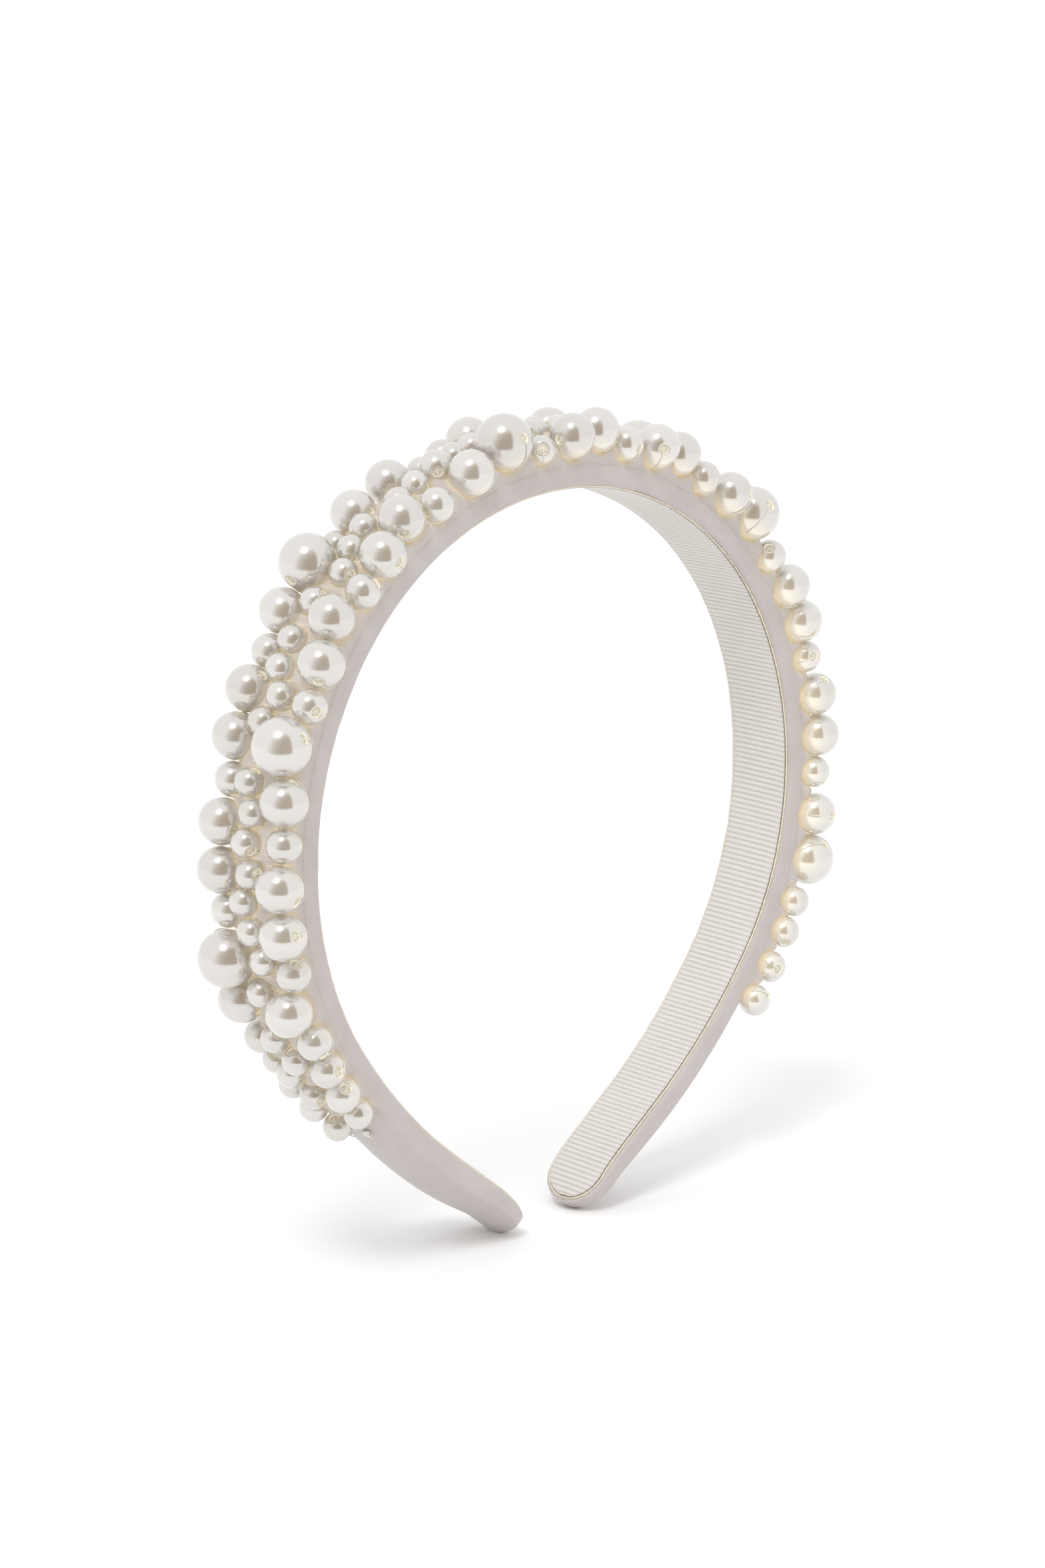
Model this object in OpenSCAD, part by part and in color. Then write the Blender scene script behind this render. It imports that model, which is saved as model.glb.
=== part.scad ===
// Pearl-covered padded headband (alice band), standing on its two tips.
// Z is up, X runs across the head, Y runs across the width of the band.

/* [Band curve, inside face] */
// Inside radius of the crown
crown_r = 66; // [64:0.5:68]
// Turn of the crown from its top to each flex line, in degrees
crown_turn = 31; // [30:0.5:32]
// Inside radius of the sides
side_r = 58; // [57:0.5:59]
// Turn of the sides, in degrees
side_turn = 95; // [94:0.5:96]
// Inside radius of the lower legs
lower_r = 110; // [105:1:115]
// Turn of the lower legs, in degrees
lower_turn = 18; // [17:0.5:19]
// Straight length between the lower leg and the flared tip
straight_len = 13; // [9:1:17]
// Radius of the outward flare at the tips
flare_r = 38; // [34:1:42]
// Turn of the flare, in degrees
flare_turn = 20; // [18:0.5:22]

/* [Band section] */
// Width of the covered band
band_w = 15; // [14.5:0.1:15.5]
// How much narrower the band is at its tips than at its sides
tip_taper = 1; // [0.8:0.1:1.4]
// Height of the padded crown over the inside face, on the centre line
pad_h = 7.5; // [7.3:0.1:7.7]
// Height of the band at its tips, where the padding thins out
tip_h = 4.4; // [4.2:0.1:4.8]
// Radius of the domed top of the padding
dome_r = 10.15; // [10:0.05:10.4]
// Thickness of the satin cover
cloth_t = 0.4; // [0.35:0.05:0.45]
// Width of the plastic core strip
core_w = 11; // [10:0.1:11.4]
// Thickness of the plastic core strip
core_t = 1.2; // [1:0.1:1.4]
// Width of the grosgrain lining ribbon
ribbon_w = 12.6; // [12:0.1:12.8]
// Thickness of the lining ribbon
ribbon_t = 0.5; // [0.4:0.05:0.6]
// Height of the flat foot worn on each tip
foot_flat = 0.6; // [0.5:0.1:0.7]

/* [Pearls] */
// Diameter of the threading hole through each pearl
hole_d = 1.7; // [1.2:0.1:1.8]
// Clear space kept between neighbouring pearls
pearl_gap = 0.3; // [0.25:0.05:0.4]
// Diameter of the clear sewing thread
thread_d = 0.35; // [0.3:0.05:0.5]

/* [Flex] */
// Slot between the crown and each arm, where the band is taken to bend
flex_gap = 0.8; // [0.7:0.05:1]

/* [Hidden] */

CLEAR = 0.05;              // gap between layers that lie on each other
HALF_W = band_w / 2;
LIP = ribbon_t + CLEAR;    // the cover starts just above the ribbon
DOME_MID = pad_h - dome_r; // height of the dome's centre of curvature
TAPER_Z = 60;              // the legs start to narrow at this height

// ---- the inside curve: one half, as stretches of [length, curvature] ----
function arc_len(r, turn) = r * turn * PI / 180;
CURVE = [
    [arc_len(crown_r, crown_turn), 1 / crown_r],
    [arc_len(side_r, side_turn), 1 / side_r],
    [arc_len(lower_r, lower_turn), 1 / lower_r],
    [straight_len, 0],
    [arc_len(flare_r, flare_turn), -1 / flare_r]
];
LAST = len(CURVE) - 1;
// A place on the curve is [x, z, slope], with slope in degrees below level
function walk(f, k, d) = abs(k) < 1e-9
    ? [f[0] + d * cos(f[2]), f[1] - d * sin(f[2]), f[2]]
    : let (a = f[2] + k * d * 180 / PI)
        [f[0] + (sin(a) - sin(f[2])) / k, f[1] + (cos(a) - cos(f[2])) / k, a];
function stretch_start(i, top) = i == 0
    ? [0, top, 0]
    : walk(stretch_start(i - 1, top), CURVE[i - 1][1], CURVE[i - 1][0]);
function reach(i) = i < 0 ? 0 : reach(i - 1) + CURVE[i][0];
FLEX_S = CURVE[0][0];      // distance from the top to the flex line
// The outer corner of the tip is the lowest point, and the foot is cut flat there
TIP_DROP = let (f = stretch_start(LAST + 1, 0)) f[1] - tip_h * sin(f[2] - 90);
TOP_Z = -foot_flat - TIP_DROP;
STARTS = [for (i = [0:LAST + 1]) stretch_start(i, TOP_Z)];
TIP = STARTS[LAST + 1];
END_S = reach(LAST);       // distance from the top to the tip
THIN_S = END_S - 26;       // the padding starts to thin out here

// Place on the half curve at distance s from the top
function place(s, i = 0) = i == LAST || s <= reach(i)
    ? walk(STARTS[i], CURVE[i][1], s - reach(i - 1))
    : place(s, i + 1);
function curvature(s, i = 0) = i == LAST || s <= reach(i) ? CURVE[i][1] : curvature(s, i + 1);

// ---- sweeping a section along the curve ----
// A section lies in [height over the inside face, distance across the band].
// Odd stretches reach a little into their slightly stouter neighbours, so that
// a run of stretches is one sound solid.
SINK = 0.4;
SLIM = 0.03;
function slim(i) = i % 2 == 1 ? SLIM : 0;

module stretch(i, first, last) {
    k = CURVE[i][1];
    odd = i % 2 == 1;
    back = odd && i > first ? SINK : 0;
    ahead = odd && i < last ? SINK : 0;
    f = walk(STARTS[i], k, -back);
    length = CURVE[i][0] + back + ahead;
    turn = abs(k) * length * 180 / PI;
    if (k == 0)
        translate([f[0], 0, f[1]]) rotate([0, 90 + f[2], 0])
            linear_extrude(length) mirror([1, 0]) children();
    else
        translate([f[0] - sin(f[2]) / k, 0, f[1] - cos(f[2]) / k]) rotate([90, 0, 0])
            if (k > 0)
                rotate([0, 0, 90 - f[2] - turn])
                    rotate_extrude(angle = turn, $fn = 120) translate([1 / k, 0]) children();
            else
                rotate([0, 0, 270 - f[2]])
                    rotate_extrude(angle = turn, $fn = 120)
                    translate([-1 / k, 0]) mirror([1, 0]) children();
}

// The crown is one arc, short of both flex lines by half the slot
module crown_sweep() {
    trim = flex_gap / 2 / crown_r * 180 / PI;
    translate([0, 0, TOP_Z - crown_r]) rotate([90, 0, 0])
        rotate([0, 0, 90 - crown_turn + trim])
        rotate_extrude(angle = 2 * (crown_turn - trim), $fn = 120)
        translate([crown_r, 0]) children();
}

// ---- sections ----
function mirrored(half) = concat(half, [for (i = [len(half) - 1:-1:0]) [half[i][0], -half[i][1]]]);
function dome(inset, from) = [for (a = [from:-14:0.1]) [
    DOME_MID + (dome_r - inset) * cos(a), (dome_r - inset) * sin(a)
]];
function cover_half(g) = concat([
    [LIP + g, HALF_W - 0.8 - g / 2],
    [LIP + 0.8 + g / 2, HALF_W - g],
    [4 - g / 2, HALF_W - g]
], dome(g, 42));
function cavity_half(g) = concat([
    [-1, HALF_W - 3 + g],
    [LIP + g - SLIM, HALF_W - 3 + g]
], cover_half(g));
function padding_half(g) = concat([
    [LIP + cloth_t + core_t + 2 * CLEAR + g, HALF_W - cloth_t - CLEAR - g],
    [4 - cloth_t / 2, HALF_W - cloth_t - CLEAR - g]
], dome(cloth_t + CLEAR + g, 42));
module strip(low, high, half_w) { translate([low, -half_w]) square([high - low, 2 * half_w]); }

// ---- tapering and rounding the legs ----
// Everything within half_w of the centre line, narrowing below TAPER_Z
module taper(half_w, ease = 0) {
    tip_w = half_w - tip_taper / 2;
    slope = (half_w - tip_w) / TAPER_Z;
    rotate([90, 0, 90]) linear_extrude(400, center = true) polygon([
        [-tip_w + slope * 20, -20], [tip_w - slope * 20, -20],
        [half_w + ease, TAPER_Z + ease / slope], [half_w + ease, 300],
        [-half_w - ease, 300], [-half_w - ease, TAPER_Z + ease / slope]
    ]);
}
// Rounds the end of a leg, short of the tip by back
module tip_cutter(half_w, back = 0) {
    r = half_w - tip_taper / 2 + 0.06;
    translate([TIP[0], 0, TIP[1]]) rotate([0, 90 + TIP[2], 0])
        translate([0, 0, -back - r]) difference() {
            translate([-15, -15, 0]) cube([25, 30, 30]);
            rotate([0, 90, 0]) cylinder(h = 60, r = r, center = true, $fn = 64);
        }
}
// Trims the upper end of the right arm by half the flex slot
module flex_cutter() {
    f = STARTS[1];
    translate([f[0], 0, f[1]]) rotate([0, f[2], 0])
        translate([-10, -20, -5]) cube([10 + flex_gap / 2, 40, 20]);
}
// Trims the outside of a leg, inset from the line along which it thins out
function height_at(s) = pad_h + 0.3 - (pad_h + 0.3 - tip_h) * (s - THIN_S) / (END_S - THIN_S);
module thin_cutter(inset) {
    line = [for (i = [0:8])
        let (s = THIN_S + i * (END_S - THIN_S) / 8, f = place(s), h = height_at(s) - inset)
        [f[0] + h * sin(f[2]), f[1] + h * cos(f[2])]];
    rotate([90, 0, 0]) linear_extrude(40, center = true)
        polygon(concat(line, [line[8] - [0, 10], line[8] + [30, -10], line[0] + [30, 0]]));
}
module right_leg(half_w, back = 0, ease = 0) {
    difference() {
        intersection() {
            children();
            taper(half_w, ease);
        }
        tip_cutter(half_w, back);
    }
}
module floor_cutter() { translate([-20, -20, -20]) cube([60, 40, 20]); }

// ---- band layers, right arm and crown ----
CORE_LOW = LIP + cloth_t + CLEAR;
module arm_core() {
    difference() {
        right_leg(core_w / 2, 2.5)
            for (i = [1:LAST]) stretch(i, 1, LAST)
                strip(CORE_LOW + slim(i), CORE_LOW + core_t - slim(i), HALF_W + slim(i));
        flex_cutter();
    }
}
module arm_padding() {
    difference() {
        right_leg(HALF_W - cloth_t - CLEAR, 1.5 + CLEAR, 1)
            for (i = [1:LAST]) stretch(i, 1, LAST) polygon(mirrored(padding_half(slim(i))));
        thin_cutter(cloth_t + CLEAR);
        flex_cutter();
    }
}
module arm_satin() {
    difference() {
        right_leg(HALF_W, 0, 1)
            for (i = [1:LAST]) stretch(i, 1, LAST) polygon(mirrored(cover_half(slim(i))));
        difference() {
            right_leg(HALF_W - cloth_t, 1.5, 1)
                for (i = [1:LAST]) stretch(i, 1, LAST)
                    polygon(mirrored(cavity_half(cloth_t - slim(i))));
            thin_cutter(cloth_t);
        }
        thin_cutter(0);
        flex_cutter();
        floor_cutter();
    }
}
module arm_ribbon() {
    difference() {
        right_leg(ribbon_w / 2, 1.3)
            for (i = [1:LAST]) stretch(i, 1, LAST) strip(slim(i), ribbon_t - slim(i), HALF_W + slim(i));
        flex_cutter();
    }
}
GLUE_IN = ribbon_w / 2 + CLEAR;
GLUE_W = 0.5;
module arm_glue_lines() {
    difference() {
        intersection() {
            for (i = [1:LAST]) stretch(i, 1, LAST)
                strip(0.1 + slim(i), ribbon_t - slim(i), HALF_W + slim(i));
            taper(GLUE_IN + GLUE_W);
        }
        taper(GLUE_IN);
        tip_cutter(HALF_W, 7);
        flex_cutter();
    }
}
module left() { mirror([1, 0, 0]) children(); }

// ---- bead rows ----
// Each letter is one pearl, read from the left tip over the crown to the right tip:
// a 5 mm, b 6 mm, c 8 mm, D 10 mm; C is an 8 mm pearl set in from the edge,
// and each dot leaves 1 mm of bare cloth.
FRONT_ROW = "abbbCbccbcDbcCbcCb..c.D.a.cCb.cCb.cD.b.ccb.ccb.cD.bb.b.b";
BACK_ROW = ".a.ab.cDbccbccbcDac.c.abcb.acbcDbc.bccb.ccbcDb.cbcb.b";
// The middle row fills the space left between the other two
MIDDLE_ROW = "aaaaaaaaaaaaaaaaaaaaaaaabaabaaaaaaaaaaaaaaaaaaaaaaaaaaaaaaa";
FRONT_START = -139.3;
BACK_START = -136.5;
MIDDLE_START = -142;
MIDDLE_END = 141;
function pearl_d(letter) =
    letter == "D" ? 10 : letter == "c" || letter == "C" ? 8 : letter == "b" ? 6 : 5;
function set_out(letter) =
    letter == "D" ? 6 : letter == "C" ? 5.6 : letter == "c" ? 7.2 : letter == "b" ? 7 : 6.8;
// A pearl is [s, y, radius, height of its centre over the inside face]
function seat(y, r) = DOME_MID + sqrt(pow(dome_r + r + CLEAR, 2) - y * y);
function pearl_at(s, y, r) = [s, y, r, seat(y, r)];
// How far along the curve pearl q must be from pearl p to clear it
function needed(p, q) =
    let (room = pow(p[2] + q[2] + pearl_gap, 2) - pow(p[1] - q[1], 2) - pow(p[3] - q[3], 2))
    room <= 0 ? 0 : sqrt(room) / (1 + curvature(abs(p[0] + q[0]) / 2) * (p[3] + q[3]) / 2);

// An edge row: each pearl is pushed up against the one before it
function edge_row(chart, side, start, i = 0, done = [], bare = 0) =
    i == len(chart) ? done
    : chart[i] == "." ? edge_row(chart, side, start, i + 1, done, bare + 1)
    : let (
        p = pearl_at(0, side * set_out(chart[i]), pearl_d(chart[i]) / 2),
        last = len(done) == 0 ? [start] : done[len(done) - 1],
        step = len(done) == 0 ? 0 : needed(last, [last[0] + 6, p[1], p[2], p[3]]),
        s = last[0] + step + bare
    ) edge_row(chart, side, start, i + 1, concat(done, [pearl_at(s, p[1], p[2])]), 0);

// A middle pearl moves on along the band until it is clear of every other pearl
// and of the flex lines
function settle(q, others) =
    let (stops = concat(
        [for (p = others) let (n = needed(p, q)) if (abs(q[0] - p[0]) < n - 1e-6) p[0] + n],
        [for (line = [-FLEX_S, FLEX_S]) if (abs(q[0] - line) < 1 - 1e-6) line + 1]
    ))
    len(stops) == 0 ? q : settle(pearl_at(max(stops), q[1], q[2]), others);
// It leans to the front or to the back, wherever it can lie closest to the last one
LEANS = [for (y = [-1.8:0.6:1.8]) y];
function closest(from, r, sway, others) =
    let (
        near = [for (p = others) if (abs(p[0] - from) < 30) p],
        tries = [for (y = LEANS) settle(pearl_at(from, y, r), near)],
        cost = [for (q = tries) q[0] + 0.3 * abs(q[1] - sway)]
    ) [for (i = [0:len(tries) - 1]) if (cost[i] == min(cost)) tries[i]][0];
function middle_row(others, i = 0, done = []) =
    i == len(MIDDLE_ROW) ? done
    : let (
        from = i == 0 ? MIDDLE_START : done[i - 1][0] + 1,
        sway = i % 2 == 0 ? -1 : 1,
        q = closest(from, pearl_d(MIDDLE_ROW[i]) / 2, sway, concat(others, done))
    ) q[0] > MIDDLE_END ? done : middle_row(others, i + 1, concat(done, [q]));

EDGES = concat(edge_row(FRONT_ROW, -1, FRONT_START), edge_row(BACK_ROW, 1, BACK_START));
PEARLS = concat(EDGES, middle_row(EDGES));

// Puts children at pearl p, with their Z along the pearl's hole
module on_band(p, i) {
    f = place(abs(p[0]));
    side = p[0] < 0 ? -1 : 1;
    h = p[3];
    translate([side * (f[0] + h * sin(f[2])), p[1], f[1] + h * cos(f[2])])
        rotate([0, side * f[2], 0]) rotate([0, 0, 137.5 * i]) rotate([0, 78 + 8 * (i % 4), 0])
        children();
}
function zone(p) = abs(p[0]) < FLEX_S ? "crown" : p[0] < 0 ? "left" : "right";
module pearls(where, d) {
    for (i = [0:len(PEARLS) - 1])
        if (zone(PEARLS[i]) == where && abs(PEARLS[i][2] * 2 - d) < 0.1)
            on_band(PEARLS[i], i) difference() {
                sphere(r = d / 2, $fn = 40);
                cylinder(h = d + 2, r = hole_d / 2, center = true, $fn = 24);
            }
}
// The sewing thread: the length inside each pearl, and knots past the row ends
KNOT_D = 1.6;
KNOTS = [[146.5, -3.2], [148, 2.6]];
module thread(where) {
    for (i = [0:len(PEARLS) - 1])
        if (zone(PEARLS[i]) == where)
            on_band(PEARLS[i], i)
                cylinder(h = 2 * PEARLS[i][2] - 0.4, r = thread_d / 2, center = true, $fn = 16);
    side = where == "left" ? -1 : 1;
    if (where != "crown")
        for (k = KNOTS)
            on_band(pearl_at(side * k[0], k[1], KNOT_D / 2), 0) sphere(r = KNOT_D / 2, $fn = 24);
}

// ---- nodes ----
WHITE_PLASTIC = [0.93, 0.93, 0.9];
FOAM = [0.95, 0.93, 0.86];
SATIN = [0.9, 0.88, 0.88];
RIBBON = [0.84, 0.82, 0.81];
GLUE = [0.9, 0.84, 0.66];
PEARL = [0.93, 0.91, 0.87];
THREAD = [0.85, 0.85, 0.82];

module crown_core() {
    color(WHITE_PLASTIC) crown_sweep() strip(CORE_LOW, CORE_LOW + core_t, core_w / 2);
}
module left_core() { color(WHITE_PLASTIC) left() arm_core(); }
module right_core() { color(WHITE_PLASTIC) arm_core(); }
module crown_padding() { color(FOAM) crown_sweep() polygon(mirrored(padding_half(0))); }
module left_padding() { color(FOAM) left() arm_padding(); }
module right_padding() { color(FOAM) arm_padding(); }
module crown_satin() {
    color(SATIN) crown_sweep() difference() {
        polygon(mirrored(cover_half(0)));
        polygon(mirrored(cavity_half(cloth_t)));
    }
}
module left_satin() { color(SATIN) left() arm_satin(); }
module right_satin() { color(SATIN) arm_satin(); }
module crown_ribbon() { color(RIBBON) crown_sweep() strip(0, ribbon_t, ribbon_w / 2); }
module left_ribbon() { color(RIBBON) left() arm_ribbon(); }
module right_ribbon() { color(RIBBON) arm_ribbon(); }
module crown_glue_lines() {
    color(GLUE) for (side = [-1, 1])
        crown_sweep() translate([0, side * (GLUE_IN + GLUE_W / 2)])
            strip(0.1, ribbon_t, GLUE_W / 2);
}
module left_glue_lines() { color(GLUE) left() arm_glue_lines(); }
module right_glue_lines() { color(GLUE) arm_glue_lines(); }
module crown_pearls_10mm() { color(PEARL) pearls("crown", 10); }
module left_pearls_10mm() { color(PEARL) pearls("left", 10); }
module right_pearls_10mm() { color(PEARL) pearls("right", 10); }
module crown_pearls_8mm() { color(PEARL) pearls("crown", 8); }
module left_pearls_8mm() { color(PEARL) pearls("left", 8); }
module right_pearls_8mm() { color(PEARL) pearls("right", 8); }
module crown_pearls_6mm() { color(PEARL) pearls("crown", 6); }
module left_pearls_6mm() { color(PEARL) pearls("left", 6); }
module right_pearls_6mm() { color(PEARL) pearls("right", 6); }
module crown_pearls_5mm() { color(PEARL) pearls("crown", 5); }
module left_pearls_5mm() { color(PEARL) pearls("left", 5); }
module right_pearls_5mm() { color(PEARL) pearls("right", 5); }
module crown_thread() { color(THREAD) thread("crown"); }
module left_thread() { color(THREAD) thread("left"); }
module right_thread() { color(THREAD) thread("right"); }

crown_core();
left_core();
right_core();
crown_padding();
left_padding();
right_padding();
crown_satin();
left_satin();
right_satin();
crown_ribbon();
left_ribbon();
right_ribbon();
crown_glue_lines();
left_glue_lines();
right_glue_lines();
crown_pearls_10mm();
left_pearls_10mm();
right_pearls_10mm();
crown_pearls_8mm();
left_pearls_8mm();
right_pearls_8mm();
crown_pearls_6mm();
left_pearls_6mm();
right_pearls_6mm();
crown_pearls_5mm();
left_pearls_5mm();
right_pearls_5mm();
crown_thread();
left_thread();
right_thread();
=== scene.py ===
"""Pearl-covered padded headband: the looks of its cover, lining, padding, pearls and thread."""
import math

import bmesh
import bpy
import numpy as np
from mathutils import Matrix, Vector, noise


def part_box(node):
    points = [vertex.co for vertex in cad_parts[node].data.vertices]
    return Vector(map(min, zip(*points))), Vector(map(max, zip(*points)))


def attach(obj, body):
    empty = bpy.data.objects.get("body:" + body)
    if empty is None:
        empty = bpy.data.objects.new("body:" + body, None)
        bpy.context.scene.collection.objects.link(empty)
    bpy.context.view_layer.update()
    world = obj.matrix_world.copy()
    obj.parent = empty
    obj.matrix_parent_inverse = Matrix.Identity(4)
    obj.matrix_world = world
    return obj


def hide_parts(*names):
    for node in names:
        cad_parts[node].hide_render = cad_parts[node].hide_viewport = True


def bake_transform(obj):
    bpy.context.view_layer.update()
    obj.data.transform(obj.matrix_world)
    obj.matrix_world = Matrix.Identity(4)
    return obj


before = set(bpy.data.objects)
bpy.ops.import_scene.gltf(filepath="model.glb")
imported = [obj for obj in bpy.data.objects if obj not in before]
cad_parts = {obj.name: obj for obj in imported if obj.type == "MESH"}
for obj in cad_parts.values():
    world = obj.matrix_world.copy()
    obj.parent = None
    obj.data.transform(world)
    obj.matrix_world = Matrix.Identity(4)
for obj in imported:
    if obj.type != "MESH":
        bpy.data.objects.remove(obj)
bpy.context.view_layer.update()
MM = 0.001  # lengths below are in millimetres, and meshes are made in metres

# ---------------------------------------------------------------- the band's curve
# The inside face of one half, as stretches of (length, curvature), from the top to the tip
CROWN_R, CROWN_TURN = 66, 31
SIDE_R, SIDE_TURN = 58, 95
LOWER_R, LOWER_TURN = 110, 18
STRAIGHT = 13
FLARE_R, FLARE_TURN = 38, 20


def arc_length(radius, turn):
    return radius * math.radians(turn)


STRETCHES = [
    (arc_length(CROWN_R, CROWN_TURN), 1 / CROWN_R),
    (arc_length(SIDE_R, SIDE_TURN), 1 / SIDE_R),
    (arc_length(LOWER_R, LOWER_TURN), 1 / LOWER_R),
    (STRAIGHT, 0),
    (arc_length(FLARE_R, FLARE_TURN), -1 / FLARE_R),
]
END_S = sum(length for length, _ in STRETCHES)
FLEX_S = STRETCHES[0][0]
BEND_REACH = 9  # bend_ends puts its two points this far on each side of a flex line
RIBBON_T = 0.5
TOP_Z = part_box("crown_ribbon")[1].z / MM - RIBBON_T


def walk(x, z, slope, curvature, distance):
    """The place at that distance further along one stretch."""
    if curvature == 0:
        return x + distance * np.cos(slope), z - distance * np.sin(slope), slope + 0 * distance
    turned = slope + curvature * distance
    return (
        x + (np.sin(turned) - np.sin(slope)) / curvature,
        z + (np.cos(turned) - np.cos(slope)) / curvature,
        turned,
    )


def place(s):
    """Across, height and slope below level of the inside face, at distances s from the top."""
    s = np.asarray(s, float)
    x, z, slope = (np.zeros_like(s) for _ in range(3))
    at, start = (0.0, TOP_Z, 0.0), 0.0
    for length, curvature in STRETCHES:
        here = s >= start - 1e-9
        found = walk(*at, curvature, s - start)
        x, z, slope = (np.where(here, new, old) for new, old in zip(found, (x, z, slope)))
        at = tuple(float(v) for v in walk(*at, curvature, np.float64(length)))
        start += length
    return x, z, slope


def on_band(side, s, height, across):
    """Points at a height over the inside face and a distance across the band, in millimetres."""
    x, z, slope = place(s)
    return np.stack(
        np.broadcast_arrays(
            side * (x + height * np.sin(slope)), across, z + height * np.cos(slope)
        ),
        axis=-1,
    )


def bend_ends(side):
    """Two points on the centre line, 3 mm over the inside face, BEND_REACH before and after the flex line
    of one side, in metres.
    """
    ends = on_band(side, np.array([FLEX_S - BEND_REACH, FLEX_S + BEND_REACH]), 3, 0) * MM
    return [tuple(float(v) for v in end) for end in ends]


# ---------------------------------------------------------------- the band's outline
HALF_W = 7.5  # half the width of the covered band
TIP_TAPER = 0.5  # how much narrower each side of a leg is at the tip
TAPER_Z = 60  # the height where the legs start to narrow
TIP_ROUND = 7.06  # radius of the rounded tip, seen from the inside
PAD_H, TIP_H = 7.5, 4.4  # height of the band on its centre line, and at its tips
THIN_S = END_S - 26  # the padding starts to thin out here
LIP = 0.55  # the cover starts this far above the inside face
DOME_R = 10.15  # radius of the domed top of the padding
CLOTH_T = 0.35
HEM = 3.0  # how far the cover is turned in under the ribbon
SIDE_H = 4.0  # height of the upright side wall


def half_width(s, inset=0.0):
    """Half the width of the outline at s, with its rounded tip, set in by inset."""
    z = place(s)[1]
    straight = HALF_W - TIP_TAPER * np.clip(1 - z / TAPER_Z, 0, 1) - inset
    past = np.clip(np.asarray(s, float) - (END_S - TIP_ROUND), 0, None)
    rounded = np.sqrt(np.clip((TIP_ROUND - inset) ** 2 - past**2, 0, None))
    return np.minimum(straight, np.where(past > 0, rounded, straight))


def crown_height(s):
    """Height of the band on its centre line, thinning to a softly rounded end at the tip."""
    thin = np.clip((s - THIN_S) / (END_S - THIN_S), 0, 1)
    height = PAD_H - (PAD_H - TIP_H) * thin * thin * (1.6 - 0.6 * thin)
    edge = 1.1
    past = np.clip((s - (END_S - edge)) / edge, 0, 1)
    return height - edge * (1 - np.sqrt(1 - past**2))


def stations(step):
    """Distances along one half, closer together around the rounded tip."""
    body = np.linspace(0, END_S - TIP_ROUND, int((END_S - TIP_ROUND) / step) + 1)
    turn = np.linspace(0, math.pi / 2, 33)[1:]
    return np.concatenate([body, END_S - TIP_ROUND + TIP_ROUND * np.sin(turn)])


# ---------------------------------------------------------------- meshes
def smooth_noise(*xyz):
    return noise.noise(Vector(xyz))


def new_piece(name, points, faces, seam_faces=0):
    """A smooth mesh in metres. The last seam_faces faces are flat caps with sharp edges."""
    mesh = bpy.data.meshes.new(name)
    mesh.from_pydata((np.asarray(points) * MM).tolist(), [], faces)
    mesh.shade_smooth()
    if seam_faces:
        capped = {k for p in list(mesh.polygons)[-seam_faces:] for k in p.edge_keys}
        sharp = mesh.attributes.new("sharp_edge", "BOOLEAN", "EDGE")
        sharp.data.foreach_set("value", [e.key in capped for e in mesh.edges])
    piece = bpy.data.objects.new(name, mesh)
    bpy.context.scene.collection.objects.link(piece)
    return piece


def outward(piece):
    """Turns every face of a closed mesh outwards and joins points that meet."""
    work = bmesh.new()
    work.from_mesh(piece.data)
    bmesh.ops.remove_doubles(work, verts=work.verts, dist=0.002 * MM)
    bmesh.ops.recalc_face_normals(work, faces=work.faces)
    work.to_mesh(piece.data)
    work.free()
    return piece


def add_values(piece, name, values):
    """Stores one number per point, for a material to read."""
    found = piece.data.attributes.new(name, "FLOAT", "POINT")
    found.data.foreach_set("value", np.asarray(values, np.float32).ravel())


def add_vectors(piece, name, values):
    """Stores one vector per point, for a material to read."""
    found = piece.data.attributes.new(name, "FLOAT_VECTOR", "POINT")
    found.data.foreach_set("vector", np.asarray(values, np.float32).ravel())


def skin_faces(count, size):
    """Faces through count rings of size points each, with a flat cap at both ends."""
    faces = [
        (a * size + i, a * size + (i + 1) % size, (a + 1) * size + (i + 1) % size, (a + 1) * size + i)
        for a in range(count - 1)
        for i in range(size)
    ]
    return faces + [tuple(range(size))[::-1], tuple(range((count - 1) * size, count * size))]


def loft(name, rings, values=None, vectors=None):
    """A closed skin through rings of points, capped flat at its first and last ring."""
    piece = new_piece(name, rings.reshape(-1, 3), skin_faces(*rings.shape[:2]), seam_faces=2)
    for key, value in (values or {}).items():
        add_values(piece, key, value)
    for key, value in (vectors or {}).items():
        add_vectors(piece, key, value)
    return outward(piece)


def tube(path, radius, sides=8):
    """Points and faces of a tube along a path of points, in millimetres."""
    path = np.asarray(path, float)
    along = np.gradient(path, axis=0)
    along /= np.linalg.norm(along, axis=1)[:, None]
    normal = np.cross(along[0], [0.31, 0.52, 0.79])
    rings = []
    for point, direction in zip(path, along):
        normal = normal - direction * (normal @ direction)
        normal /= np.linalg.norm(normal)
        third = np.cross(direction, normal)
        turn = np.linspace(0, 2 * math.pi, sides, endpoint=False)[:, None]
        rings.append(point + radius * (np.cos(turn) * normal + np.sin(turn) * third))
    return np.concatenate(rings), skin_faces(len(path), sides)


def gather(parts):
    """One list of points and faces from several."""
    points, faces, count = [], [], 0
    for some_points, some_faces in parts:
        points.append(some_points)
        faces += [tuple(i + count for i in face) for face in some_faces]
        count += len(some_points)
    return np.concatenate(points), faces


# ---------------------------------------------------------------- the pearls' places
SIZES = {"10mm": 10, "8mm": 8, "6mm": 6, "5mm": 5}
ZONES = ("crown", "left", "right")
BODY_OF = {"crown": "crown", "left": "left_arm", "right": "right_arm"}


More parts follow.
